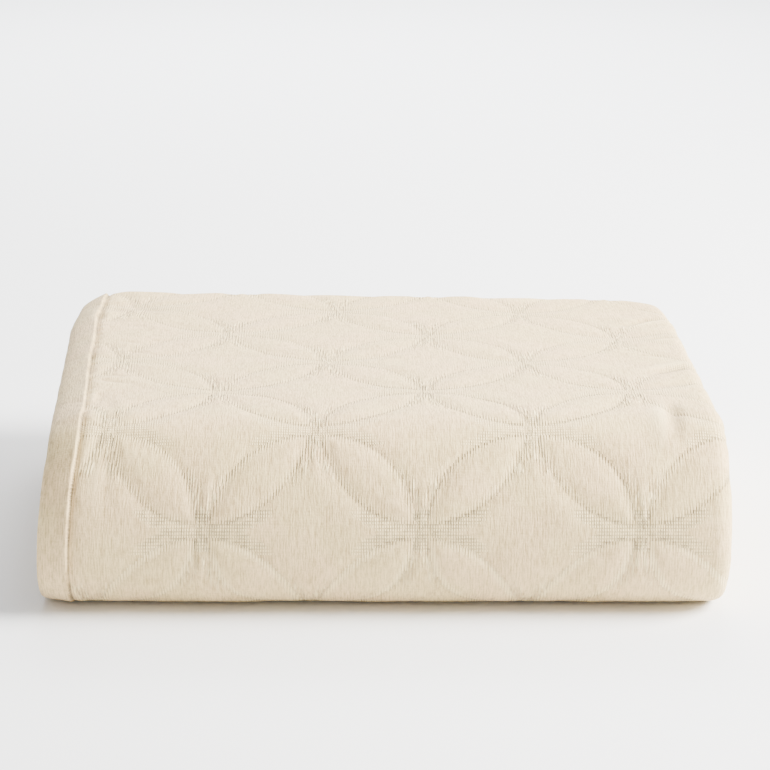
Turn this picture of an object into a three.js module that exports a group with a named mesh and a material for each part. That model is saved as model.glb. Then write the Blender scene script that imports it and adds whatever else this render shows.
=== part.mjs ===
// A matelasse coverlet, folded for the shelf. It is one sheet of double cloth: folded twice across its
// width into a pack of four plies, and the pack is laid back and forth in five runs, with the last long
// fold as a round nose at the front. Millimetres, +Z up, the nose faces -Y, the cloth rests on Z = 0.
import * as THREE from "three";

// Driving dimensions
const foldedWidth = 592;
const foldedDepth = 524;
const foldedHeight = 158;
const clothThickness = 4.8;
const plyPitch = 7.6;
const runCount = 5;
const nodePitch = 93.6; // half the spacing of the pattern's nodes, across and along
const circleRadius = 88; // of the woven circles, centred between nodes, with bands of ground between them
const hemWidth = 24;

// Sizes that follow from them
const half = clothThickness / 2;
const outerLevel = 1.5 * plyPitch; // of the outer and the lowest ply, from the pack's middle
const innerLevel = 0.5 * plyPitch;
const packHalf = outerLevel + half;
const runPitch = (foldedHeight - 2 * packHalf) / (runCount - 1);
const backTurnRadius = runPitch / 2;
const backTurnY = foldedDepth - backTurnRadius - packHalf;

// The nose at the pack's middle: a tight foot, a slow front and a rounder shoulder
const footRadius = 38.5;
const frontRadius = 99;
const frontTurn = 55;
const shoulderTurn = 90 - frontTurn;
const noseRise = (runCount - 1) * runPitch;
const frontSine = Math.sin(THREE.MathUtils.degToRad(frontTurn));
const frontCosine = Math.cos(THREE.MathUtils.degToRad(frontTurn));
const shoulderRadius = (noseRise - footRadius - frontRadius * frontSine) / (1 - frontSine);
const noseFootY = packHalf + footRadius;
const noseTopY = packHalf + frontRadius - (frontRadius - shoulderRadius) * frontCosine;

// Where the hidden runs begin and stop
const lowerStart = { y: 43, z: packHalf + runPitch };
const innerTurnY = 82;
const middleEndY = 478;

// The pack's middle line in (Y, Z), from the hidden end inside the nose. It starts towards the back.
// A positive turn is to the left, and steps are those of the plain cloth.
const foldLegs = [
  { name: "lower return", run: backTurnY - lowerStart.y, steps: 3 },
  { name: "lower back turn", radius: backTurnRadius, turn: -180, steps: 7 },
  { name: "floor run", run: backTurnY - noseFootY, steps: 3 },
  { name: "nose foot", radius: footRadius, turn: -90, steps: 5 },
  { name: "nose front", radius: frontRadius, turn: -frontTurn, steps: 4 },
  { name: "nose shoulder", radius: shoulderRadius, turn: -shoulderTurn, steps: 2 },
  { name: "top run", run: backTurnY - noseTopY, steps: 3 },
  { name: "upper back turn", radius: backTurnRadius, turn: -180, steps: 7 },
  { name: "upper return", run: backTurnY - innerTurnY, steps: 3 },
  { name: "inner front turn", radius: backTurnRadius, turn: 180, steps: 6 },
  { name: "middle run", run: middleEndY - innerTurnY, steps: 3 },
];
const firstQuiltedLeg = 3;
const lastQuiltedLeg = 7;

// Each ply's left end is set back from the outer hem, so that the outer ply can curl over it
const leftEdge = -foldedWidth / 2;
const rightEdge = leftEdge + foldedWidth;
const secondHemX = leftEdge + 21;
const leftTurnX = leftEdge + 17;
const rightTurnX = rightEdge - packHalf;
const curlWidth = 32;
const curlDrop = { floor: 1.5, top: 11 };

// The pack's cross section in (X, level), from the outer hem to the second hem
const crossLegs = [
  { name: "outer ply", from: leftEdge, to: rightTurnX, level: outerLevel, steps: 3 },
  { name: "outer turn", x: rightTurnX, level: 0, radius: outerLevel, from: 90, turn: -180, steps: 6 },
  { name: "lowest ply", from: rightTurnX, to: leftTurnX, level: -outerLevel, steps: 2 },
  { name: "left turn", x: leftTurnX, level: -plyPitch, radius: innerLevel, from: 270, turn: -180, steps: 4 },
  { name: "third ply", from: leftTurnX, to: rightTurnX, level: -innerLevel, steps: 2 },
  { name: "inner turn", x: rightTurnX, level: 0, radius: innerLevel, from: 270, turn: 180, steps: 4 },
  { name: "second ply", from: rightTurnX, to: secondHemX, level: innerLevel, steps: 2 },
];
const stripEnd = 2; // the outer ply and the outer right turn carry the quilting

// Quilting and hem relief of the patterned face
const quiltRise = { petal: 2.2, ground: 1.5 };
const quiltSlope = 14; // distance from an arc over which the cloth rises
const quiltSteps = 6; // mesh steps from one row of nodes to the next
const nodeX = 31;
const nodeAboveFoot = 104.5; // first row of nodes, in cloth length from the start of the nose
const patternSkew = 0.029;
const hemRelief = [
  { inset: 0, rise: 0 },
  { inset: 12, rise: 0.4 },
  { inset: hemWidth - 2.5, rise: 1.0 },
  { inset: hemWidth + 0.5, rise: -1.2 },
  { inset: hemWidth + 6, rise: 0.9 },
];

// How the folded cloth has settled: the hem side spreads towards the back and is a little higher there
const leftFlare = 19;
const shoulderPinch = 10;
const flareStart = 50;
const flareEnd = 400;
const rightTuck = 5;
const backLift = { middle: 0.021, hemSide: 0.028 }; // shares of the height
const cornerPull = { left: 15, right: 30 };
const cornerReach = 62;
const rippleHeight = 0.6;

const clamp01 = (value) => Math.min(1, Math.max(0, value));
const smooth = (from, to, value) => {
  const t = clamp01((value - from) / (to - from));
  return t * t * (3 - 2 * t);
};

// Place, heading and length of each leg of the fold, and the cloth's length along the outer ply
const fold = [];
for (const leg of foldLegs) {
  const last = fold.at(-1);
  const start = last ? pointOnLeg(last, last.length) : { ...lowerStart, angle: 0 };
  const sweep = THREE.MathUtils.degToRad(leg.turn ?? 0);
  const length = leg.run ?? Math.abs(sweep) * leg.radius;
  const side = Math.sign(sweep);
  const stretch = leg.run ? 1 : 1 - (side * outerLevel) / leg.radius;
  const along = last ? last.along + last.length : 0;
  const outerAlong = last ? last.outerAlong + last.length * last.stretch : 0;
  fold.push({ ...leg, ...start, sweep, length, side, stretch, along, outerAlong });
}
const foldLength = fold.at(-1).along + fold.at(-1).length;
const quiltStart = fold[firstQuiltedLeg].outerAlong;
const quiltEnd = fold[lastQuiltedLeg + 1].outerAlong;
const firstNode = quiltStart + nodeAboveFoot;

function pointOnLeg(leg, distance) {
  if (leg.run) {
    const [cosine, sine] = [Math.cos(leg.angle), Math.sin(leg.angle)];
    return { y: leg.y + cosine * distance, z: leg.z + sine * distance, angle: leg.angle };
  }
  const angle = leg.angle + (leg.sweep * distance) / leg.length;
  const reach = leg.side * leg.radius;
  return {
    y: leg.y + reach * (Math.sin(angle) - Math.sin(leg.angle)),
    z: leg.z - reach * (Math.cos(angle) - Math.cos(leg.angle)),
    angle,
  };
}

function foldAt(along) {
  const leg = fold.findLast((each) => each.along <= along) ?? fold[0];
  const distance = along - leg.along;
  return { ...pointOnLeg(leg, distance), outerAlong: leg.outerAlong + distance * leg.stretch };
}

function alongFromOuter(outerAlong) {
  const leg = fold.findLast((each) => each.outerAlong <= outerAlong);
  return leg.along + (outerAlong - leg.outerAlong) / leg.stretch;
}

// A point of the cloth's middle surface. The place across is a cross leg's number plus a share of that leg.
function middlePoint(along, across) {
  const path = foldAt(along);
  const index = THREE.MathUtils.clamp(Math.floor(across), 0, crossLegs.length - 1);
  const leg = crossLegs[index];
  const share = across - index;
  let x;
  let level;
  if (leg.radius) {
    const angle = THREE.MathUtils.degToRad(leg.from + leg.turn * share);
    x = leg.x + leg.radius * Math.cos(angle);
    level = leg.level + leg.radius * Math.sin(angle);
  } else {
    x = THREE.MathUtils.lerp(leg.from, leg.to, share);
    level = leg.level;
    if (index === 0) {
      const drop = THREE.MathUtils.lerp(curlDrop.floor, curlDrop.top, (1 + Math.cos(path.angle)) / 2);
      level -= drop * clamp01((leftEdge + curlWidth - x) / curlWidth) ** 2;
    } else {
      level += rippleHeight * Math.sin(along / 71 + 2.1 * index) * Math.sin(Math.PI * share);
    }
  }
  return new THREE.Vector3(x, path.y - level * Math.sin(path.angle), path.z + level * Math.cos(path.angle));
}

// Rise of the patterned face: puffed petals and ground between sunken arcs, and the stitched side hem
function quiltRelief(along, across) {
  const clothY = foldAt(along).outerAlong;
  const shown = smooth(quiltStart, quiltStart + 40, clothY) * smooth(quiltEnd, quiltEnd - 30, clothY);
  if (across > stripEnd || shown === 0) {
    return 0;
  }
  const turnLength = Math.PI * outerLevel * Math.max(0, across - 1);
  const clothX = THREE.MathUtils.lerp(leftEdge, rightTurnX, Math.min(1, across)) + turnLength;
  const b = (clothY - firstNode) / nodePitch;
  const a = (clothX - nodeX) / nodePitch - patternSkew * b;
  const cellA = Math.abs(a - 2 * Math.round(a / 2));
  const cellB = Math.abs(b - 2 * Math.round(b / 2));
  const sideways = nodePitch * Math.hypot(1 - cellA, cellB) - circleRadius;
  const upright = nodePitch * Math.hypot(cellA, 1 - cellB) - circleRadius;
  const rise = sideways < 0 && upright < 0 ? quiltRise.petal : quiltRise.ground;
  const fromArc = Math.min(Math.abs(sideways), Math.abs(upright));
  const quilting = rise * smooth(0, quiltSlope, fromArc);
  const inset = clothX - leftEdge;
  const past = hemRelief.findIndex((row) => row.inset > inset);
  if (past === -1) {
    return shown * quilting * smooth(2 * Math.PI * outerLevel, 0, turnLength);
  }
  const [near, far] = [hemRelief[past - 1], hemRelief[past]];
  return shown * THREE.MathUtils.mapLinear(inset, near.inset, far.inset, near.rise, far.rise);
}

// Move a point as the whole fold has settled. Height only scales, so the floor side stays flat.
function settle(point) {
  const left = smooth(0, leftEdge, point.x);
  const right = smooth(0, rightEdge, point.x);
  const back = smooth(70, 440, point.y);
  const spread = clamp01((point.y - flareStart) / (flareEnd - flareStart));
  const corner = smooth(380, foldedDepth, point.y);
  const leftCorner = clamp01((leftEdge + cornerReach - point.x) / cornerReach) ** 2;
  const rightCorner = clamp01((point.x - rightEdge + cornerReach) / cornerReach) ** 2;
  const pinch = shoulderPinch * (point.z / foldedHeight) ** 2;
  point.x += left * (pinch * (1 - spread) - leftFlare * spread) - right * rightTuck * corner;
  point.z *= 1 + back * (backLift.middle + backLift.hemSide * (left - right));
  point.y -= corner * (cornerPull.left * leftCorner + cornerPull.right * rightCorner);
  return point;
}

const reach = 0.002;
function clothPoint(along, across, face) {
  const top = crossLegs.length;
  const ahead = middlePoint(Math.min(foldLength, along + 1), across);
  const behind = middlePoint(Math.max(0, along - 1), across);
  const onward = middlePoint(along, Math.min(top, across + reach));
  const before = middlePoint(along, Math.max(0, across - reach));
  const normal = onward.sub(before).cross(ahead.sub(behind)).normalize();
  const offset = face > 0 ? half + quiltRelief(along, across) : -half;
  return settle(middlePoint(along, across).addScaledVector(normal, offset));
}

// Stations along the fold and places across it
const steps = (count) => Array.from({ length: count }, (_, index) => index / count);
const plainStations = fold.flatMap((leg) => steps(leg.steps).map((share) => leg.along + share * leg.length));
plainStations.push(foldLength);
const curlPlaces = [0, 0.4, 0.7, 1].map((share) => (share * curlWidth) / (rightTurnX - leftEdge));
const plainPlaces = crossLegs.flatMap((leg, index) => steps(leg.steps).map((share) => index + share));
plainPlaces.splice(0, 1, ...curlPlaces);
plainPlaces.push(crossLegs.length);

const gridStep = nodePitch / quiltSteps;
const quiltAlongs = [];
const firstRow = firstNode - gridStep * Math.floor((firstNode - quiltStart) / gridStep - 1);
for (let outerAlong = firstRow; outerAlong < quiltEnd - 4; outerAlong += gridStep) {
  quiltAlongs.push(alongFromOuter(outerAlong));
}
const quiltZone = [fold[firstQuiltedLeg].along, fold[lastQuiltedLeg + 1].along];
const outsideZone = plainStations.filter((along) => along <= quiltZone[0] || along >= quiltZone[1]);
const faceStations = [...outsideZone, ...quiltAlongs].sort((one, other) => one - other);

const quiltPlaces = hemRelief.map((row) => row.inset / (rightTurnX - leftEdge));
for (let column = -20; column < 20; column += 1) {
  const share = (nodeX + column * gridStep - leftEdge) / (rightTurnX - leftEdge);
  if (share > quiltPlaces.at(-1) && share < 0.985) {
    quiltPlaces.push(share);
  }
}
quiltPlaces.push(...steps(crossLegs[1].steps).map((share) => 1 + share), stripEnd);

// One closed body: the patterned face, the reverse, and a rim round all four edges
const corners = [];
const triangles = [];
function addPoint(along, across, face, at) {
  corners.push(...clothPoint(along, across, face));
  return { vertex: corners.length / 3 - 1, at };
}

// Triangles between two lines of points, each sorted by the place they share
function zip(one, other, flip) {
  let [i, j] = [0, 0];
  while (i < one.length - 1 || j < other.length - 1) {
    const onOne = j === other.length - 1 || (i < one.length - 1 && one[i + 1].at <= other[j + 1].at);
    const [a, b] = [one[i].vertex, other[j].vertex];
    if (onOne) {
      i += 1;
    } else {
      j += 1;
    }
    const c = onOne ? one[i].vertex : other[j].vertex;
    triangles.push(...(flip ? [a, c, b] : [a, b, c]));
  }
}
function zipAll(lines, flip) {
  lines.slice(1).forEach((line, index) => zip(lines[index], line, flip));
}

const outerPlaces = plainPlaces.filter((across) => across <= stripEnd);
const innerPlaces = plainPlaces.filter((across) => across > stripEnd);
const rowAt = (along, places, face) => places.map((across) => addPoint(along, across, face, across));
const columnAt = (across, face) => plainStations.map((along) => addPoint(along, across, face, along));
const faceRows = faceStations.map((along) => {
  return rowAt(along, quiltAlongs.includes(along) ? quiltPlaces : outerPlaces, 1);
});
const firstOf = (rows) => rows.map((row, index) => ({ ...row[0], at: faceStations[index] }));
const lastOf = (rows) => rows.map((row, index) => ({ ...row.at(-1), at: faceStations[index] }));
const innerColumns = innerPlaces.map((across) => columnAt(across, 1));
const reverseRows = plainStations.map((along) => rowAt(along, plainPlaces, -1));

const endRow = (pick) => [
  ...faceRows.at(pick),
  ...innerColumns.map((column, index) => ({ ...column.at(pick), at: innerPlaces[index] })),
];
const reverseEdge = (pick) => {
  return reverseRows.map((row, index) => ({ ...row.at(pick), at: plainStations[index] }));
};

zipAll(faceRows, true);
zipAll([lastOf(faceRows), ...innerColumns], false);
zipAll(reverseRows, false);
zip(firstOf(faceRows), reverseEdge(0), true);
zip(innerColumns.at(-1), reverseEdge(-1), false);
zip(endRow(0), reverseRows.at(0), false);
zip(endRow(-1), reverseRows.at(-1), true);

const geometry = new THREE.BufferGeometry();
geometry.setAttribute("position", new THREE.Float32BufferAttribute(corners, 3));
geometry.setIndex(triangles);
geometry.computeBoundingBox();
const box = geometry.boundingBox;
geometry.translate(-(box.min.x + box.max.x) / 2, -(box.min.y + box.max.y) / 2, -box.min.z);
geometry.computeVertexNormals();

const cottonCloth = new THREE.MeshStandardMaterial({ color: "#e6dccb", roughness: 0.92, metalness: 0 });
const coverlet = new THREE.Mesh(geometry, cottonCloth);
coverlet.name = "coverlet";

const foldedCoverlet = new THREE.Group();
foldedCoverlet.add(coverlet);

export default foldedCoverlet;
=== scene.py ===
# A folded matelasse coverlet: one woven sheet, laid back and forth, with a raised pattern of overlapping
# circles and a stitched side hem. Shapes are worked in millimetres and placed in metres.
import math

import bpy
import numpy as np
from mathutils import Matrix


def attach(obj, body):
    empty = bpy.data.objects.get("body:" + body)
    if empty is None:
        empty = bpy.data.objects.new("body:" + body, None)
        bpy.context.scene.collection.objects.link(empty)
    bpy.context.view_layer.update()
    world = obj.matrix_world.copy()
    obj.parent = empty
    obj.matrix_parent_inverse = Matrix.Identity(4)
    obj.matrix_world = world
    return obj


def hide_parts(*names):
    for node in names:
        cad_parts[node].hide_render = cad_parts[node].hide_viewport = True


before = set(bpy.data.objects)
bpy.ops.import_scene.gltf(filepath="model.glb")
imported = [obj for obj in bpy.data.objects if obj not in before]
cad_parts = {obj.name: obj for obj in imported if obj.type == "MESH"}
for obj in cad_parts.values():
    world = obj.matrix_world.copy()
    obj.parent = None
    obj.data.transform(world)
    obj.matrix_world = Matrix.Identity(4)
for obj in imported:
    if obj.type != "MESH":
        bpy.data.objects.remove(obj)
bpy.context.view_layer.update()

# Sizes in millimetres, the same as the solid's
FOLDED_WIDTH = 592.0
FOLDED_DEPTH = 524.0
FOLDED_HEIGHT = 158.0
PLY_PITCH = 7.6
PACK_HALF = 13.8
NODE_PITCH = 93.6  # half the spacing of the pattern's nodes
CIRCLE_RADIUS = 88.0
LOFT = 6.4  # thickness of the puffed cloth
OUTER_LEVEL = 1.5 * PLY_PITCH
INNER_LEVEL = 0.5 * PLY_PITCH
RUN_PITCH = (FOLDED_HEIGHT - 2 * PACK_HALF) / 4
TURN_RADIUS = RUN_PITCH / 2
BACK_TURN_Y = FOLDED_DEPTH - TURN_RADIUS - PACK_HALF
LEFT_EDGE = -FOLDED_WIDTH / 2
RIGHT_EDGE = FOLDED_WIDTH / 2
RIGHT_TURN_X = RIGHT_EDGE - PACK_HALF
LEFT_TURN_X = LEFT_EDGE + 17.0
SECOND_HEM_X = LEFT_EDGE + 21.0
CURL_WIDTH = 32.0

# How the block is uneven: distances in millimetres, lifts as shares of the height
CORNER_SIZE = 62
LEFT_ROUND = 15
RIGHT_ROUND = 30
FRONT_PINCH = 10
BACK_FLARE = 19
RIGHT_DRAW = 5
BACK_LIFT = 0.021
SIDE_LIFT = 0.028

FOOT_RADIUS = 38.5
FRONT_RADIUS = 99.0
FRONT_TURN = 55.0
SHOULDER_TURN = 90.0 - FRONT_TURN
FRONT_SIN = np.sin(np.radians(FRONT_TURN))
FRONT_COS = np.cos(np.radians(FRONT_TURN))
SHOULDER_RADIUS = (4 * RUN_PITCH - FOOT_RADIUS - FRONT_RADIUS * FRONT_SIN) / (1 - FRONT_SIN)
NOSE_FOOT_Y = PACK_HALF + FOOT_RADIUS
NOSE_TOP_Y = PACK_HALF + FRONT_RADIUS - (FRONT_RADIUS - SHOULDER_RADIUS) * FRONT_COS
LOWER_START_Y = 43.0
INNER_TURN_Y = 82.0
MIDDLE_END_Y = 478.0

# Name, run or radius, turn in degrees (positive to the left)
FOLD_LEGS = [
    ("lower return", BACK_TURN_Y - LOWER_START_Y, 0),
    ("lower back turn", TURN_RADIUS, -180),
    ("floor run", BACK_TURN_Y - NOSE_FOOT_Y, 0),
    ("nose foot", FOOT_RADIUS, -90),
    ("nose front", FRONT_RADIUS, -FRONT_TURN),
    ("nose shoulder", SHOULDER_RADIUS, -SHOULDER_TURN),
    ("top run", BACK_TURN_Y - NOSE_TOP_Y, 0),
    ("upper back turn", TURN_RADIUS, -180),
    ("upper return", BACK_TURN_Y - INNER_TURN_Y, 0),
    ("inner front turn", TURN_RADIUS, 180),
    ("middle run", MIDDLE_END_Y - INNER_TURN_Y, 0),
]


def clamp01(value):
    return np.clip(value, 0.0, 1.0)


def smooth(start, end, value):
    t = clamp01((value - start) / (end - start))
    return t * t * (3 - 2 * t)


def measure_fold():
    """A row for each leg, and the whole length of the middle line.

    Columns: y, z and angle at its start, bend per mm, its start along the middle and along the
    outer face, and how much longer the outer face is.
    """
    rows = []
    y, z, angle, along, outer = LOWER_START_Y, PACK_HALF + RUN_PITCH, 0.0, 0.0, 0.0
    for _, size, turn in FOLD_LEGS:
        sweep = np.radians(turn)
        length = abs(sweep) * size if turn else size
        bend = sweep / length
        stretch = 1 - bend * OUTER_LEVEL
        rows.append((y, z, angle, bend, along, outer, stretch))
        if turn:
            y += (np.sin(angle + sweep) - np.sin(angle)) / bend
            z -= (np.cos(angle + sweep) - np.cos(angle)) / bend
            angle += sweep
        else:
            y += np.cos(angle) * length
            z += np.sin(angle) * length
        along += length
        outer += length * stretch
    return np.array(rows), along


FOLD, FOLD_LENGTH = measure_fold()
ALONG, OUTER, STRETCH = 4, 5, 6
LEG = {name: index for index, (name, _, _) in enumerate(FOLD_LEGS)}


def leg_start(name):
    return FOLD[LEG[name], ALONG]


def outer_start(name):
    return FOLD[LEG[name], OUTER]


QUILT_START = outer_start("nose foot")
FIRST_NODE = QUILT_START + 104.5
NODE_X = 31.0
SKEW = 0.029


def fold_at(along):
    """Place on the fold's middle line (y, z), its angle, and the distance along the outer face."""
    along = np.clip(along, 0, FOLD_LENGTH)
    leg = np.clip(np.searchsorted(FOLD[:, ALONG], along, side="right") - 1, 0, len(FOLD) - 1)
    y, z, angle, bend, start, outer, stretch = FOLD[leg].T
    distance = along - start
    turned = angle + bend * distance
    safe = np.where(bend == 0, 1.0, bend)
    dy = np.where(bend == 0, np.cos(angle) * distance, (np.sin(turned) - np.sin(angle)) / safe)
    dz = np.where(bend == 0, np.sin(angle) * distance, -(np.cos(turned) - np.cos(angle)) / safe)
    return y + dy, z + dz, turned, outer + distance * stretch


def along_from_outer(outer):
    """Distance along the middle line, from the distance along the outer face."""
    leg = np.clip(np.searchsorted(FOLD[:, OUTER], outer, side="right") - 1, 0, len(FOLD) - 1)
    return FOLD[leg, ALONG] + (outer - FOLD[leg, OUTER]) / FOLD[leg, STRETCH]


# Flat ply: from, to, level. Turn: middle x, middle level, radius, start and turn in degrees.
CROSS_LEGS = [
    ("ply", LEFT_EDGE, RIGHT_TURN_X, OUTER_LEVEL),
    ("turn", RIGHT_TURN_X, 0.0, OUTER_LEVEL, 90, -180),
    ("ply", RIGHT_TURN_X, LEFT_TURN_X, -OUTER_LEVEL),
    ("turn", LEFT_TURN_X, -PLY_PITCH, INNER_LEVEL, 270, -180),
    ("ply", LEFT_TURN_X, RIGHT_TURN_X, -INNER_LEVEL),
    ("turn", RIGHT_TURN_X, 0.0, INNER_LEVEL, 270, 180),
    ("ply", RIGHT_TURN_X, SECOND_HEM_X, INNER_LEVEL),
]


def cross_at(along, across, angle):
    """Place across the pack (x) and level from its middle."""
    x = np.zeros_like(across)
    level = np.zeros_like(across)
    index = np.clip(np.floor(across).astype(int), 0, len(CROSS_LEGS) - 1)
    share = across - index
    for number, leg in enumerate(CROSS_LEGS):
        at = index == number
        if leg[0] == "turn":
            theta = np.radians(leg[4] + leg[5] * share[at])
            x[at] = leg[1] + leg[3] * np.cos(theta)
            level[at] = leg[2] + leg[3] * np.sin(theta)
        else:
            x[at] = leg[1] + (leg[2] - leg[1]) * share[at]
            level[at] = leg[3]
            if number == 0:
                drop = 1.5 + 9.5 * np.sqrt((1 + np.cos(angle[at])) / 2)
                level[at] -= drop * clamp01((LEFT_EDGE + CURL_WIDTH - x[at]) / CURL_WIDTH) ** 2
    return x, level


def settle(point):
    """Widens and lifts the block towards its back, and draws its corners in, as the solid has it."""
    x, y, z = point[..., 0], point[..., 1], point[..., 2]
    left = smooth(0, LEFT_EDGE, x)
    right = smooth(0, RIGHT_EDGE, x)
    back = smooth(70, 440, y)
    spread = clamp01((y - 50) / 350)
    corner = smooth(380, FOLDED_DEPTH, y)
    left_corner = clamp01((LEFT_EDGE + CORNER_SIZE - x) / CORNER_SIZE) ** 2
    right_corner = clamp01((x - RIGHT_EDGE + CORNER_SIZE) / CORNER_SIZE) ** 2
    pinch = FRONT_PINCH * (z / FOLDED_HEIGHT) ** 2
    new_x = x + left * (pinch * (1 - spread) - BACK_FLARE * spread) - right * RIGHT_DRAW * corner
    new_z = z * (1 + back * (BACK_LIFT + SIDE_LIFT * (left - right)))
    new_y = y - corner * (LEFT_ROUND * left_corner + RIGHT_ROUND * right_corner)
    return np.stack([new_x, new_y, new_z], axis=-1)


# Where the folded block sits in the part's frame
TO_PART = np.array([9.474, -261.324, 0.0])

rng = np.random.default_rng(41)
NOISE_GRID = rng.random((64, 64))


def soft_noise(x, y, size, offset=0.0):
    """Smooth noise from -1 to 1 with bumps of about the given size."""
    gx = x / size + offset
    gy = y / size + 1.7 * offset
    ix, iy = np.floor(gx).astype(int), np.floor(gy).astype(int)
    tx, ty = gx - ix, gy - iy
    tx, ty = tx * tx * (3 - 2 * tx), ty * ty * (3 - 2 * ty)

    def at(i, j):
        return NOISE_GRID[i % 64, j % 64]

    low = at(ix, iy) * (1 - tx) + at(ix + 1, iy) * tx
    high = at(ix, iy + 1) * (1 - tx) + at(ix + 1, iy + 1) * tx
    return 2 * (low * (1 - ty) + high * ty) - 1


# Cloth coordinates: x runs across the sheet from the outer hem, y along the fold
PLY_LENGTHS = [
    abs(leg[2] - leg[1]) if leg[0] == "ply" else math.pi * leg[3] for leg in CROSS_LEGS
]
PLY_STARTS = np.concatenate([[0.0], np.cumsum(PLY_LENGTHS)])


def cloth_x(across):
    """Place across the flat sheet, counted on from the left edge."""
    index = np.clip(np.floor(across).astype(int), 0, len(CROSS_LEGS) - 1)
    return LEFT_EDGE + PLY_STARTS[index] + (across - index) * np.array(PLY_LENGTHS)[index]


def lattice(cx, cy):
    """Distance to the nearest circle arc, whether inside a petal, and offsets from the nearest node."""
    b = (cy - FIRST_NODE) / NODE_PITCH
    a = (cx - NODE_X) / NODE_PITCH - SKEW * b
    cell_a = np.abs(a - 2 * np.round(a / 2))
    cell_b = np.abs(b - 2 * np.round(b / 2))
    sideways = NODE_PITCH * np.hypot(1 - cell_a, cell_b) - CIRCLE_RADIUS
    upright = NODE_PITCH * np.hypot(cell_a, 1 - cell_b) - CIRCLE_RADIUS
    petal = (sideways < 0) & (upright < 0)
    arc = np.minimum(np.abs(sideways), np.abs(upright))
    far = (cell_a + cell_b > 1).astype(float)
    node_a = NODE_PITCH * np.abs(far - cell_a)
    node_b = NODE_PITCH * np.abs(far - cell_b)
    return arc, petal, node_a, node_b, a


def quilt_relief(cx, cy):
    """Puffed petals and ground between sunken arcs, with pleats drawn in at the nodes."""
    arc, petal, node_a, node_b, a = lattice(cx, cy)
    puff = np.where(petal, 1.45, 1.05) * smooth(0, 15, arc)
    groove = -0.4 * np.exp(-((arc / 2.4) ** 2))
    # pleats fan out above and below each node
    near_a = a - np.round(a)
    side = np.sign(near_a) * node_a
    fan = 5.5 + 0.16 * node_b
    reach = smooth(4, 16, node_b) * smooth(60, 26, node_b)
    reach = reach * np.exp(-((node_a / (0.34 * node_b + 8)) ** 2))
    pleats = 0.46 * reach * np.cos(2 * np.pi * side / fan + 1.3 * soft_noise(cx, cy, 30, 3.1))
    drawn = -0.75 * np.exp(-((node_a / 16) ** 2) - ((node_b / 22) ** 2))
    flatter = 1 - 0.3 * smooth(FIRST_NODE + 90, FIRST_NODE + 230, cy)
    return (puff + groove + pleats + drawn) * flatter


# Inset from the hemmed edge and rise, in millimetres
HEM_PROFILE = [
    (0.0, -0.3),
    (3.0, 0.5),
    (8.0, 0.6),
    (14.0, 0.8),
    (18.0, 1.2),
    (21.5, 1.7),
    (23.4, 2.1),
    (24.2, 1.5),
    (25.3, -1.4),
    (27.0, -1.2),
    (30.0, 0.2),
    (36.0, 0.9),
]


def hem_wobble(cy):
    """How far the hem's line strays to the left."""
    return 0.9 * soft_noise(cy * 0, cy, 46, 9.0) + 0.5 * soft_noise(cy * 0, cy, 17, 2.7)


def hem_relief(cx, cy):
    inset = cx - LEFT_EDGE + hem_wobble(cy)
    profile = np.interp(inset, [row[0] for row in HEM_PROFILE], [row[1] for row in HEM_PROFILE])
    drawn_in = 0.45 + 0.55 * smooth(-0.3, 0.5, soft_noise(cx * 0, cy, 55, 5.5))
    beside_seam = np.exp(-(((inset - 27.5) / 7.0) ** 2))
    puckers = 1.1 * drawn_in * soft_noise(cx * 0.35, cy, 7.5, 4.4) * beside_seam
    return profile + puckers


# Soft creases: from and to in the cloth, measured along it from the nose's foot, half width, depth.
# Each has a low ridge on its right, going from the first end to the second.
CREASES = [
    (238, 527, 268, 552, 4.5, 2.3),
    (262, 549, 288, 563, 5.0, 1.9),
    (258, 477, 284, 484, 4.0, 1.8),
    (241, 415, 266, 412, 4.0, 1.4),
    (292, 379, 250, 354, 5.5, 2.2),
    (235, 303, 287, 322, 5.0, 1.2),
    (255, 252, 251, 190, 6.5, 3.3),
    (-241, 417, -213, 404, 4.0, 0.9),
    (-244, 445, -228, 439, 3.5, 0.7),
    (-262, 324, -236, 315, 4.0, 1.2),
    (-263, 341, -238, 335, 3.5, 0.8),
    (-262, 357, -250, 360, 3.5, 0.7),
    (-271, 406, -271, 392, 3.0, 0.9),
    (-270, 566, -268, 527, 4.0, 1.1),
    (-267, 577, -244, 553, 8.0, 1.1),
    (-237, 580, -214, 554, 8.0, 1.0),
    (-256, 287, -261, 240, 4.5, 1.4),
    (-250, 268, -244, 212, 5.0, 1.3),
    (-248, 186, -238, 128, 6.0, 1.1),
    (300, 262, 330, 268, 6.0, 1.2),
    (296, 150, 326, 158, 7.0, 1.1),
    (304, 88, 331, 84, 6.0, 1.0),
    (120, 640, 178, 652, 7.0, 1.2),
    (-60, 668, -8, 660, 6.0, 1.0),
]


def crease_relief(cx, cy):
    total = np.zeros_like(cx)
    height = cy - QUILT_START
    for x0, y0, x1, y1, width, depth in CREASES:
        dx, dy = x1 - x0, y1 - y0
        length = math.hypot(dx, dy)
        t = clamp01(((cx - x0) * dx + (height - y0) * dy) / length**2)
        side = ((cx - x0) * dy - (height - y0) * dx) / length
        beyond = np.hypot(cx - x0 - t * dx, height - y0 - t * dy)
        along_it = np.sin(np.pi * (0.08 + 0.84 * t)) ** 0.7
        fade = along_it * np.exp(-(((beyond - np.abs(side)) / width) ** 2))
        valley = -np.exp(-((side / width) ** 2))
        ridge = 0.55 * np.exp(-(((side - 1.9 * width) / (1.3 * width)) ** 2))
        total += depth * fade * (valley + ridge)
    return total


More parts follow.
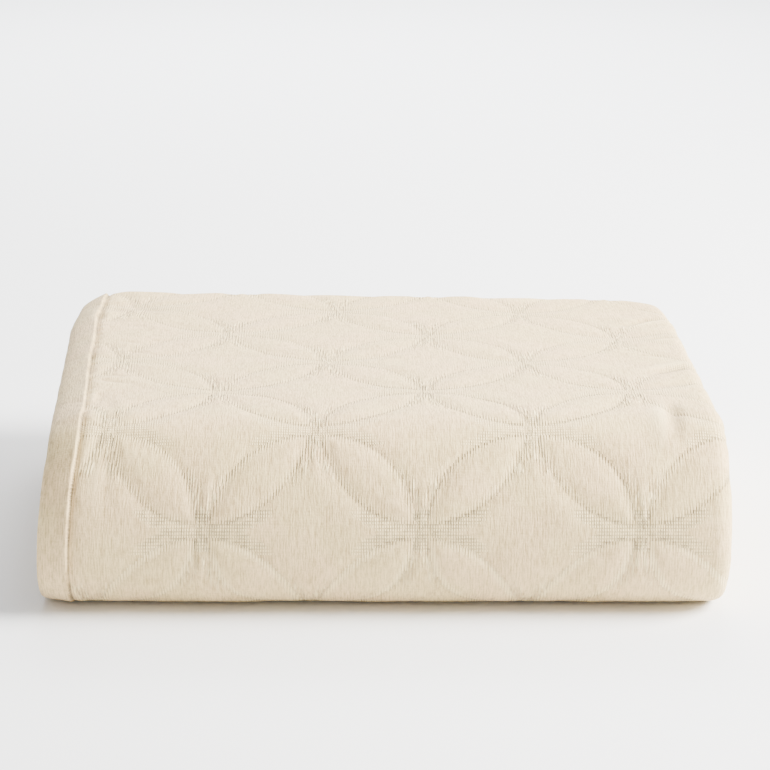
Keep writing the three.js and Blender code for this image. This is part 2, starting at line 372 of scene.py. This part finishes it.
def face_relief(along, across):
    """Rise of the patterned face."""
    cx = cloth_x(across)
    cy = fold_at(along)[3]
    outer = smooth(1.9, 1.05, across)  # little relief round the right-hand turn
    quilted = quilt_relief(cx, cy)
    hem = hem_relief(cx, cy)
    inside = smooth(LEFT_EDGE + 29, LEFT_EDGE + 40, cx)
    relief = hem * (1 - inside) + quilted * inside
    relief += inside * (0.8 * soft_noise(cx, cy, 58, 1.3) + 0.4 * soft_noise(cx, cy, 23, 6.2))
    relief += (1 - inside) * 0.35 * (quilted - 1.0)
    relief += crease_relief(cx, cy)
    # only where the face is exposed: the nose, the top, and the turns at the back
    shown = smooth(QUILT_START, QUILT_START + 45, cy)
    lower_back = outer_start("lower back turn")
    floor_run = outer_start("floor run")
    on_lower_turn = smooth(lower_back, lower_back + 20, cy) * smooth(floor_run - 10, floor_run - 30, cy)
    shown = np.maximum(shown, on_lower_turn)
    upper_return = outer_start("upper return")
    shown = shown * smooth(upper_return + 10, upper_return - 20, cy)
    return relief * shown * outer


# Mesh points are kept as places on the sheet, and become positions in one go
class Sheet:
    def __init__(self):
        self.along = []
        self.across = []
        self.lift = []
        self.out_across = []
        self.out_along = []
        self.count = 0
        self.triangles = []

    def line(self, along, across, lift, at, out_across=0.0, out_along=0.0):
        """A line of points and the place each has along it."""
        n = len(at)
        for store, value in (
            (self.along, along),
            (self.across, across),
            (self.lift, lift),
            (self.out_across, out_across),
            (self.out_along, out_along),
        ):
            store.append(np.broadcast_to(np.asarray(value, dtype=float), (n,)))
        indices = list(range(self.count, self.count + n))
        self.count += n
        return indices, [float(value) for value in at]

    def zip(self, one, other, flip):
        """Triangles between two lines of points."""
        (ones, one_at), (others, other_at) = one, other
        i = j = 0
        last_i, last_j = len(ones) - 1, len(others) - 1
        while i < last_i or j < last_j:
            on_one = j == last_j or (i < last_i and one_at[i + 1] <= other_at[j + 1])
            a, b = ones[i], others[j]
            if on_one:
                i += 1
                c = ones[i]
            else:
                j += 1
                c = others[j]
            if a != b and b != c and a != c:
                self.triangles.append((a, c, b) if flip else (a, b, c))

    def zip_all(self, lines, flip):
        for one, other in zip(lines[:-1], lines[1:]):
            self.zip(one, other, flip)

    def places(self):
        stores = (self.along, self.across, self.lift, self.out_across, self.out_along)
        return [np.concatenate(store) for store in stores]


def spread(start, end, step):
    count = max(1, int(round((end - start) / step)))
    return list(np.linspace(start, end, count + 1)[:-1])


# Stations along the fold, coarse where the cloth is hidden
LEG_STEPS = {"run": 15.0, "turn": 5.5, "nose": 9.0}
plain_stations = []
for number, (name, size, turn) in enumerate(FOLD_LEGS):
    begin = FOLD[number, ALONG]
    finish = FOLD[number + 1, ALONG] if number + 1 < len(FOLD) else FOLD_LENGTH
    kind = "nose" if name.startswith("nose") else ("turn" if turn else "run")
    plain_stations += spread(begin, finish, LEG_STEPS[kind])
plain_stations.append(FOLD_LENGTH)

# Finer where it shows
FINE_STEP = 2.75
BACK_STEP = 4.2
top_end = outer_start("upper back turn")
fine_outer = spread(QUILT_START, top_end, FINE_STEP)
fine_outer += spread(top_end, outer_start("upper return"), BACK_STEP)
fine_lower = spread(outer_start("lower back turn"), outer_start("floor run"), BACK_STEP)
fine_stations = list(along_from_outer(np.array(fine_outer)))
fine_lower_stations = list(along_from_outer(np.array(fine_lower)))


def hidden(along):
    on_show = leg_start("nose foot") - 1 <= along <= leg_start("upper return") - 1
    on_lower_turn = leg_start("lower back turn") - 1 <= along <= leg_start("floor run") - 1
    return not (on_show or on_lower_turn)


face_rows = [(along, False) for along in plain_stations if hidden(along)]
face_rows += [(along, True) for along in fine_stations + fine_lower_stations]
face_rows.sort()

# Places across: whole numbers are the ends of the plies and turns, closest together at the hem's ridge
OUTER_WIDTH = RIGHT_TURN_X - LEFT_EDGE
HEM_END = 36
hem_columns = spread(0, 19, 2.4) + spread(19, 29, 0.8) + spread(29, HEM_END, 1.7)
fine_places = [x / OUTER_WIDTH for x in hem_columns + spread(HEM_END, OUTER_WIDTH, FINE_STEP)]
fine_places += [1 + share for share in spread(0, 1, 1 / 12)] + [2.0]
plain_columns = spread(0, HEM_END, 6) + spread(HEM_END, OUTER_WIDTH - 20, 45)
plain_columns += [OUTER_WIDTH - 20, OUTER_WIDTH - 8]
plain_outer = [x / OUTER_WIDTH for x in plain_columns]
plain_outer += [1 + share for share in spread(0, 1, 1 / 9)] + [2.0]
inner_places = []
for index in range(2, 7):
    if CROSS_LEGS[index][0] == "turn":
        inner_places += [index + share for share in spread(0, 1, 1 / 7)]
    else:
        inner_places += [index + share for share in (0, 0.03, 0.08, 0.25, 0.5, 0.75, 0.92, 0.97)]
inner_places = inner_places[1:] + [7.0]
reverse_places = plain_outer + inner_places

sheet = Sheet()
faces_by_row = [
    sheet.line(along, fine_places if fine else plain_outer, 1, fine_places if fine else plain_outer)
    for along, fine in face_rows
]
row_places = [along for along, _ in face_rows]
columns = [sheet.line(plain_stations, across, 1, plain_stations) for across in inner_places]
reverse_rows = [sheet.line(along, reverse_places, -1, reverse_places) for along in plain_stations]


def edge_of(rows, pick, at):
    return [row[0][pick] for row in rows], at


def end_row(pick):
    indices, at = faces_by_row[pick]
    return indices + [column[0][pick] for column in columns], at + inner_places


sheet.zip_all(faces_by_row, True)
sheet.zip_all([edge_of(faces_by_row, -1, row_places)] + columns, False)
sheet.zip_all(reverse_rows, False)

# Rounded rims: lines of points between the two faces
RIM_ANGLES = [math.radians(angle) for angle in (45, 90, 135)]


def rim(face_line, reverse_line, along, across, out_across, out_along, at, flip):
    between = [
        sheet.line(along, across, math.cos(t), at, out_across * math.sin(t), out_along * math.sin(t))
        for t in RIM_ANGLES
    ]
    lines = [face_line] + between + [reverse_line]
    sheet.zip_all(lines, flip)
    return lines


hem_rim = rim(edge_of(faces_by_row, 0, row_places), edge_of(reverse_rows, 0, plain_stations),
              row_places, 0.0, -1, 0, row_places, True)
second_rim = rim(columns[-1], edge_of(reverse_rows, -1, plain_stations),
                 plain_stations, 7.0, 1, 0, plain_stations, False)
all_places = end_row(0)[1]
start_rim = rim(end_row(0), reverse_rows[0], 0.0, all_places, 0, -1, all_places, False)
last_places = end_row(-1)[1]
end_rim = rim(end_row(-1), reverse_rows[-1], FOLD_LENGTH, last_places, 0, 1, last_places, True)


def corner(one_lines, one_pick, other_lines, other_pick, flip):
    one = [line[0][one_pick] for line in one_lines], list(range(5))
    other = [line[0][other_pick] for line in other_lines], list(range(5))
    sheet.zip(one, other, flip)


corner(hem_rim, 0, start_rim, 0, False)
corner(hem_rim, -1, end_rim, 0, True)
corner(second_rim, 0, start_rim, -1, True)
corner(second_rim, -1, end_rim, -1, False)


def ply_wander(along, across):
    """Uneven ply edges: in and out across the pack, and up and down between its layers."""
    index = np.clip(np.floor(across).astype(int), 0, len(CROSS_LEGS) - 1)
    share = across - index
    shift = np.zeros_like(along)
    level = np.zeros_like(along)
    quiet = 1 - 0.75 * smooth(QUILT_START - 60, QUILT_START, fold_at(along)[3])
    for number in range(len(CROSS_LEGS)):
        at = index == number
        wave = 1.7 * soft_noise(along[at], along[at] * 0, 62, 2.0 + 3 * number)
        wave += 0.8 * soft_noise(along[at], along[at] * 0, 23, 5.0 + number)
        if number == 0:
            shift[at] = quiet[at] * wave * (1 - share[at]) ** 4
        elif number == 6:
            shift[at] = wave * share[at] ** 4
        elif number == 2:
            shift[at] = 0.8 * wave * share[at] ** 4
        elif number == 4:
            shift[at] = 0.8 * wave * (1 - share[at]) ** 4
        if number in (2, 4, 6):
            bulge = 0.35 * np.sin(np.pi * share[at])
            level[at] = bulge * soft_noise(along[at], 60 * share[at], 40, number)
    return shift, level


# How far each ply's end lies past its place, at the sheet's start and at its end
END_SHIFTS = [(-1.5, 1.8), (-0.5, 1.0), (1.0, -1.6), (1.6, -0.6), (2.0, 1.4), (0.6, 0.2), (-1.8, -2.0)]
END_REACH = 24


def end_wander(along, across):
    index = np.clip(np.floor(across).astype(int), 0, len(CROSS_LEGS) - 1)
    start, end = np.array(END_SHIFTS)[index].T
    wave = 1.6 * soft_noise(cloth_x(across), 37.0 * index, 70, 8.2)
    near_start = smooth(END_REACH, 0, along)
    near_end = smooth(FOLD_LENGTH - END_REACH, FOLD_LENGTH, along)
    return (start + wave) * near_start + (end + wave) * near_end


def cloth_positions(along, across, lift, out_across, out_along):
    def middle(s, u):
        y, z, angle, _ = fold_at(s)
        x, level = cross_at(s, u, angle)
        shift, wave = ply_wander(s, u)
        x = x + shift
        level = level + wave
        return np.stack([x, y - level * np.sin(angle), z + level * np.cos(angle)], axis=-1)

    s0, s1 = np.maximum(0, along - 0.8), np.minimum(FOLD_LENGTH, along + 0.8)
    u0, u1 = np.maximum(0, across - 0.0015), np.minimum(7, across + 0.0015)
    d_along = middle(s1, across) - middle(s0, across)
    d_across = middle(along, u1) - middle(along, u0)
    d_along /= np.linalg.norm(d_along, axis=1, keepdims=True)
    d_across /= np.linalg.norm(d_across, axis=1, keepdims=True)
    normal = np.cross(d_across, d_along)
    normal /= np.linalg.norm(normal, axis=1, keepdims=True)
    relief = face_relief(along, across) * np.clip(lift, 0, 1)
    half = LOFT / 2
    # loft is taken up inwards, so that the outer face stays where the solid has it
    inward = (half - 2.4) * smooth(2.0, 1.9, across)
    point = middle(along, across)
    point += normal * (half * lift + relief - inward)[:, None]
    point += d_across * (half * out_across)[:, None] + d_along * (half * out_along)[:, None]
    point += d_along * end_wander(along, across)[:, None]
    return settle(point)


along, across, lift, out_across, out_along = sheet.places()
points = cloth_positions(along, across, lift, out_across, out_along)
points[:, 2] = np.maximum(points[:, 2], 0.0)
points = (points + TO_PART) / 1000
triangles = np.array(sheet.triangles, dtype=np.int32)

mesh = bpy.data.meshes.new("coverlet_cloth")
mesh.vertices.add(len(points))
mesh.vertices.foreach_set("co", points.astype(np.float32).ravel())
mesh.loops.add(triangles.size)
mesh.loops.foreach_set("vertex_index", triangles.ravel())
mesh.polygons.add(len(triangles))
mesh.polygons.foreach_set("loop_start", np.arange(0, triangles.size, 3, dtype=np.int32))
mesh.update(calc_edges=True)
mesh.validate()
mesh.polygons.foreach_set("use_smooth", np.ones(len(mesh.polygons), dtype=bool))

weave_map = mesh.uv_layers.new(name="weave")
round_rim = LOFT / 2 * np.arccos(np.abs(lift))  # so that the weave runs on round the edges
cloth_across, cloth_along = cloth_x(across), fold_at(along)[3]
cloth_across += hem_wobble(cloth_along) * smooth(LEFT_EDGE + 60, LEFT_EDGE + 30, cloth_across)
cloth = np.stack([cloth_across, cloth_along], axis=1)
cloth += np.stack([np.sign(out_across), np.sign(out_along)], axis=1) * round_rim[:, None]
cloth /= 1000
corner_vertex = np.zeros(len(mesh.loops), dtype=np.int32)
mesh.loops.foreach_get("vertex_index", corner_vertex)
weave_map.data.foreach_set("uv", cloth[corner_vertex].astype(np.float32).ravel())

# how high the creases stand above the cloth or lie below it, in millimetres; the material paints shade
# into their hollows and a highlight onto their ridges from it
outside = (lift > 0) & (across < 2)
crease_height = crease_relief(cloth_x(across), fold_at(along)[3]) * outside
crease_layer = mesh.attributes.new("crease", "FLOAT", "POINT")
crease_layer.data.foreach_set("value", crease_height.astype(np.float32))

coverlet = bpy.data.objects.new("coverlet_cloth", mesh)
bpy.context.scene.collection.objects.link(coverlet)


# Woven cloth, in nodes: one Value wraps a socket, so that the weave reads as sums
class Value:
    tree = None

    def __init__(self, socket):
        self.socket = socket

    @classmethod
    def math(cls, operation, *inputs):
        node = cls.tree.nodes.new("ShaderNodeMath")
        node.operation = operation
        for place, item in zip(node.inputs, inputs):
            if isinstance(item, Value):
                cls.tree.links.new(item.socket, place)
            else:
                place.default_value = float(item)
        return cls(node.outputs[0])

    def __add__(self, other):
        return Value.math("ADD", self, other)

    def __sub__(self, other):
        return Value.math("SUBTRACT", self, other)

    def __rsub__(self, other):
        return Value.math("SUBTRACT", other, self)

    def __mul__(self, other):
        return Value.math("MULTIPLY", self, other)

    def __truediv__(self, other):
        return Value.math("DIVIDE", self, other)

    __radd__ = __add__
    __rmul__ = __mul__

    def below(self, limit):
        return Value.math("LESS_THAN", self, limit)

    def above(self, limit):
        return Value.math("GREATER_THAN", self, limit)

    def snapped(self, step):
        return Value.math("SNAP", self, step)

    def between(self, start, end):
        """0 at start, 1 at end, smooth between."""
        node = Value.tree.nodes.new("ShaderNodeMapRange")
        node.interpolation_type = "SMOOTHSTEP"
        flip = start > end
        Value.tree.links.new(self.socket, node.inputs["Value"])
        node.inputs["From Min"].default_value = min(start, end)
        node.inputs["From Max"].default_value = max(start, end)
        node.inputs["To Min"].default_value = 1.0 if flip else 0.0
        node.inputs["To Max"].default_value = 0.0 if flip else 1.0
        return Value(node.outputs["Result"])


def wave_of(value, pitch):
    """A sine from 0 to 1."""
    return Value.math("SINE", value * (2 * math.pi / pitch)) * 0.5 + 0.5


def noise_of(x, y, size_x, size_y, detail=2.0):
    """Noise from 0 to 1 whose grain is longer one way than the other."""
    tree = Value.tree
    join = tree.nodes.new("ShaderNodeCombineXYZ")
    tree.links.new((x / size_x).socket, join.inputs["X"])
    tree.links.new((y / size_y).socket, join.inputs["Y"])
    node = tree.nodes.new("ShaderNodeTexNoise")
    node.noise_dimensions = "2D"
    node.inputs["Scale"].default_value = 1.0
    node.inputs["Detail"].default_value = detail
    tree.links.new(join.outputs["Vector"], node.inputs["Vector"])
    return Value(node.outputs["Fac"])


def mix_colour(factor, one, other):
    node = Value.tree.nodes.new("ShaderNodeMix")
    node.data_type = "RGBA"
    Value.tree.links.new(factor.socket, node.inputs["Factor"])
    for name, item in (("A", one), ("B", other)):
        place = [entry for entry in node.inputs if entry.name == name and entry.type == "RGBA"][0]
        if isinstance(item, tuple):
            place.default_value = (*item, 1.0)
        else:
            Value.tree.links.new(item, place)
    return [entry for entry in node.outputs if entry.type == "RGBA"][0]


def linear(red, green, blue):
    """Linear colour from 0 to 255 display values."""
    def channel(value):
        value /= 255
        return value / 12.92 if value <= 0.04045 else ((value + 0.055) / 1.055) ** 2.4
    return channel(red), channel(green), channel(blue)


# Sizes of the weave in millimetres
THREAD_STEP = (2.4, 2.9)
THREAD_PITCH = 2.45
WAFFLE_PITCH = (2.17, 2.9)
RIB_PITCH = 2.65
STITCH_PITCH = 3.4
SEAM_X = LEFT_EDGE + 25.2

# Undyed cotton, with a painted highlight colour for raised threads and a painted shade colour for
# hollows
COTTON = linear(235, 210, 153)
COTTON_WARM = linear(239, 209, 157)
COTTON_SHADED = linear(184, 157, 110)
COTTON_PAINTED_HIGHLIGHT = linear(255, 232, 174)
COTTON_PAINTED_SHADE = linear(128, 112, 84)


def matelasse(name):
    """The cloth's material. Its weights and ranges were set against the photograph."""
    material = bpy.data.materials.new(name)
    material.use_nodes = True
    tree = material.node_tree
    tree.nodes.clear()
    Value.tree = tree
    uv = tree.nodes.new("ShaderNodeUVMap")
    uv.uv_map = "weave"
    split = tree.nodes.new("ShaderNodeSeparateXYZ")
    tree.links.new(uv.outputs["UV"], split.inputs["Vector"])
    x = Value(split.outputs["X"]) * 1000
    y = Value(split.outputs["Y"]) * 1000

    # the jacquard changes weave thread by thread, so its edges are stepped
    step_x, step_y = THREAD_STEP
    sx = x.snapped(step_x) + step_x / 2
    sy = y.snapped(step_y) + step_y / 2
    b = (sy - FIRST_NODE) / NODE_PITCH
    a = (sx - NODE_X) / NODE_PITCH - b * SKEW
    cell_a = Value.math("PINGPONG", a, 1)
    cell_b = Value.math("PINGPONG", b, 1)

    def hypot(one, other):
        return Value.math("SQRT", one * one + other * other)

    sideways = hypot(1 - cell_a, cell_b) * NODE_PITCH - CIRCLE_RADIUS
    upright = hypot(cell_a, 1 - cell_b) * NODE_PITCH - CIRCLE_RADIUS
    petal = sideways.below(0) * upright.below(0)
    ground = 1 - petal
    arc = Value.math("MINIMUM", Value.math("ABSOLUTE", sideways), Value.math("ABSOLUTE", upright))
    far = (cell_a + cell_b).above(1)
    node_a = Value.math("ABSOLUTE", far - cell_a)
    node_b = Value.math("ABSOLUTE", far - cell_b)
    level_neck = Value.math("GREATER_THAN", node_a, node_b)
    ragged = noise_of(sx, sy, 6.0, 4.0) * 0.16
    # bands of ground beside each node: waffle weave to its left and right, ribs above and below it
    reach_up = Value.math("ABSOLUTE", upright)
    reach_side = Value.math("ABSOLUTE", sideways)
    level_reach = reach_up * (1 - far) + reach_side * far
    steep_reach = reach_side * (1 - far) + reach_up * far
    hem = x.between(LEFT_EDGE + 27, LEFT_EDGE + 25)
    open_cloth = 1 - hem
    in_level_band = (node_b + ragged * 0.3).between(0.24, 0.21) * (node_a + ragged).between(0.78, 0.6)
    quiet = x.between(350, 325) * 0.8 + 0.2  # the folded-in plies show little of it
    in_steep_band = (node_b + ragged).between(0.74, 0.46) * steep_reach.between(10.5, 7.0)
    ribs = ground * (1 - level_neck) * in_steep_band * open_cloth * quiet
    fade = noise_of(x, y, 42.0, 38.0, 1.0).between(0.36, 0.62) * 0.55 + 0.45
    # at the nose's foot the raised threads catch the light: they get more painted highlight and less
    # painted shade there, and the arc grooves are shallower
    low = y.between(FIRST_NODE - 2, FIRST_NODE - 26)
    # the node itself stays plain
    clear = hypot(node_a, node_b).between(0.05, 0.13)
    # lines are fainter on the top and near the hem
    front = y.between(FIRST_NODE + 300, FIRST_NODE + 170) * 0.45 + 0.55
    # the waffle shows best in the lowest row
    low_row = y.between(FIRST_NODE + 95, FIRST_NODE + 40) * 0.5 + 0.5
    waffle = ground * in_level_band * level_reach.between(13.0, 9.5) * open_cloth * quiet * low_row
    beside_hem = x.between(LEFT_EDGE + 90, LEFT_EDGE + 190) * 0.35 + 0.65
    arc_line = arc.between(2.3, 0.7) * open_cloth * fade * clear * quiet * front * beside_hem
    arc_ticks = petal * arc.between(7.0, 2.6) * open_cloth * (1.15 - fade * 0.5) * quiet

    # threads, slubs along the cloth and across it, and flecks
    streak = noise_of(x, y, 1.2, 8.5, 2.0)
    broad = noise_of(x, y, 3.2, 27.0, 2.0)
    weft = noise_of(x, y, 17.0, 1.5, 2.0)
    fleck = noise_of(x, y, 1.5, 1.7, 2.0)
    blotch = noise_of(x, y, 24.0, 17.0, 2.0)
    threads = wave_of(x + (broad - 0.5) * 1.6, THREAD_PITCH)
    bar = wave_of(x, WAFFLE_PITCH[0]).between(0.15, 0.8)
    cell = bar * (wave_of(y, WAFFLE_PITCH[1]).between(0.12, 0.6) * 0.8 + 0.2)
    uneven = noise_of(x, y, 9.0, 6.0, 1.0).between(0.25, 0.62) * 0.7 + 0.3
    rib_wave = wave_of(x + (noise_of(x, y, 9, 14) - 0.5) * 1.6, RIB_PITCH)
    sunk = noise_of(x, y, 1.6, 15.0, 1.0).between(0.5, 0.68)
    proud = noise_of(x + 71, y, 1.6, 13.0, 1.0).between(0.5, 0.68)

    height = streak * 0.40 + broad * 0.22 + fleck * 0.16 + weft * 0.12
    height = height + arc_ticks * (threads * 0.4 + 0.15)
    height = height + (cell - 0.25) * waffle * uneven * 0.6
    height = height + (rib_wave * 0.45 + proud * 0.5 - sunk * 0.42) * ribs
    height = height - arc_line * (0.35 + (1 - threads) * 0.5) * (1 - low * 0.6)
    seam = x - SEAM_X
    sewn = noise_of(y, y, 2.2, 2.2, 1.0).between(0.3, 0.6) * 0.6 + 0.4
    sewn = sewn * (noise_of(y, y, 47.0, 47.0, 1.0).between(0.4, 0.6) * 0.7 + 0.3)
    stitch = Value.math("ABSOLUTE", seam).between(1.4, 0.4) * sewn
    stitch = stitch * wave_of(y, STITCH_PITCH).between(0.2, 0.7)
    height = height - stitch * 0.7

    bump = tree.nodes.new("ShaderNodeBump")
    bump.inputs["Strength"].default_value = 1.0
    bump.inputs["Distance"].default_value = 0.001
    tree.links.new(height.socket, bump.inputs["Height"])

    # colour, warmer and greener by turns
    patch = noise_of(x, y, 75, 60, 2.0)
    light = mix_colour(patch.between(0.36, 0.64), COTTON, COTTON_WARM)
    tone = (streak - 0.5) * 1.7 + (broad - 0.5) * 0.8 + (fleck - 0.5) * 0.7 + (blotch - 0.5) * 0.3
    tone = tone + (weft - 0.5) * 0.3 + (threads - 0.5) * 0.2
    base = mix_colour(Value.math("MAXIMUM", 0.32 - tone, 0.0), light, COTTON_SHADED)

    # painted highlight: raised threads, waffle cells, the ribs' proud threads and the creases' ridges
    # are painted lighter where light would catch them, and painted shade darkens what lies below them
    painted_highlight = arc_ticks * threads * (0.5 + low * 1.0) + cell * waffle * uneven * 2.2 + proud * ribs * 1.2
    crease_node = tree.nodes.new("ShaderNodeAttribute")
    crease_node.attribute_name = "crease"
    crease = Value(crease_node.outputs["Fac"])
    # painted highlight on the creases' ridges
    painted_highlight = painted_highlight + Value.math("MAXIMUM", crease, 0.0) * 0.45
    base = mix_colour(Value.math("MINIMUM", painted_highlight, 0.95), base, COTTON_PAINTED_HIGHLIGHT)
    # painted shade: the waffle's hollows, the ribs' grooves, the arc lines and the gaps between the
    # ticks are darkened where shade would fall
    depth = (1 - cell) * waffle * uneven * 0.55 + ribs * (sunk * 0.24 + (1 - rib_wave) * 0.1)
    depth = depth + arc_line * (0.14 + (1 - threads) * 0.35) + arc_ticks * (1 - threads) * 0.1
    # painted shadow along the seam beside the hem's ridge, and painted shade in the stitches' dents
    shade = Value.math("ABSOLUTE", seam - 0.4).between(1.3, 0.4) * (sewn * 0.65 + 0.3)
    depth = depth * (1 - low * 0.45) + Value.math("MAXIMUM", stitch * 0.8, shade)
    # painted shade in the creases' hollows
    depth = depth + Value.math("MAXIMUM", crease * -1, 0.0) * 0.16
    # mix the painted shade into the colour
    colour = mix_colour(Value.math("MINIMUM", depth, 0.85), base, COTTON_PAINTED_SHADE)

    shader = tree.nodes.new("ShaderNodeBsdfPrincipled")
    tree.links.new(colour, shader.inputs["Base Color"])
    tree.links.new(bump.outputs["Normal"], shader.inputs["Normal"])
    roughness = fleck * 0.12 + 0.82
    tree.links.new(roughness.socket, shader.inputs["Roughness"])
    shader.inputs["Specular IOR Level"].default_value = 0.22
    shader.inputs["Sheen Weight"].default_value = 0.16
    shader.inputs["Sheen Roughness"].default_value = 0.5
    output = tree.nodes.new("ShaderNodeOutputMaterial")
    tree.links.new(shader.outputs["BSDF"], output.inputs["Surface"])
    return material


mesh.materials.append(matelasse("cotton_matelasse"))

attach(coverlet, "root")
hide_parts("coverlet")


# Camera, at the photograph's angle: place in metres, tilt down in radians
PIXELS = 770
FOCAL_PIXELS = 2200
CAMERA_AT = (0.0097, -2.0153, 0.7205)
CAMERA_TILT = 0.2836
camera_data = bpy.data.cameras.new("camera")
camera_data.sensor_width = 36
camera_data.lens = 36 * FOCAL_PIXELS / PIXELS
camera_data.clip_start = 0.05
camera = bpy.data.objects.new("camera", camera_data)
camera.location = CAMERA_AT
camera.rotation_euler = (math.pi / 2 - CAMERA_TILT, 0, 0)
bpy.context.scene.collection.objects.link(camera)
bpy.context.scene.camera = camera

# Pale floor, just below the cloth, in metres
FLOOR_HALF = 9
FLOOR_TOP = -0.0004
floor_mesh = bpy.data.meshes.new("floor")
floor_corners = [(-1, -1), (1, -1), (1, 1), (-1, 1)]
floor_mesh.from_pydata(
    [(side_x * FLOOR_HALF, side_y * FLOOR_HALF, FLOOR_TOP) for side_x, side_y in floor_corners],
    [],
    [(0, 1, 2, 3)],
)
floor = bpy.data.objects.new("floor", floor_mesh)
bpy.context.scene.collection.objects.link(floor)
floor_material = bpy.data.materials.new("floor")
floor_material.use_nodes = True
floor_shader = floor_material.node_tree.nodes["Principled BSDF"]
floor_shader.inputs["Base Color"].default_value = (0.91, 0.93, 0.96, 1)
floor_shader.inputs["Roughness"].default_value = 0.9
floor_shader.inputs["Specular IOR Level"].default_value = 0.0
floor_mesh.materials.append(floor_material)


# Soft studio light
def lamp(name, place, size, power, colour=(1, 1, 1), aim_at=(0, 0, 0.08)):
    data = bpy.data.lights.new(name, "AREA")
    data.shape = "DISK"
    data.size = size
    data.energy = power
    data.color = colour
    item = bpy.data.objects.new(name, data)
    item.location = place
    aim = np.array(aim_at) - np.array(place)
    yaw = math.atan2(aim[1], aim[0])
    pitch = math.atan2(-aim[2], math.hypot(aim[0], aim[1]))
    item.rotation_euler = (0, pitch - math.pi / 2, yaw)
    bpy.context.scene.collection.objects.link(item)


lamp("key", (2.6, -0.3, 1.9), 1.8, 665, (1.0, 0.965, 0.91))
lamp("top", (0.7, 1.5, 2.1), 1.3, 35, (1.0, 0.96, 0.9))
lamp("backdrop", (0.0, 3.6, 2.8), 3.0, 440, aim_at=(0.01, 4.0, 0.0))
world = bpy.data.worlds.new("studio")
world.use_nodes = True
world.node_tree.nodes["Background"].inputs["Color"].default_value = (1, 1, 1, 1)
world.node_tree.nodes["Background"].inputs["Strength"].default_value = 0.78
bpy.context.scene.world = world
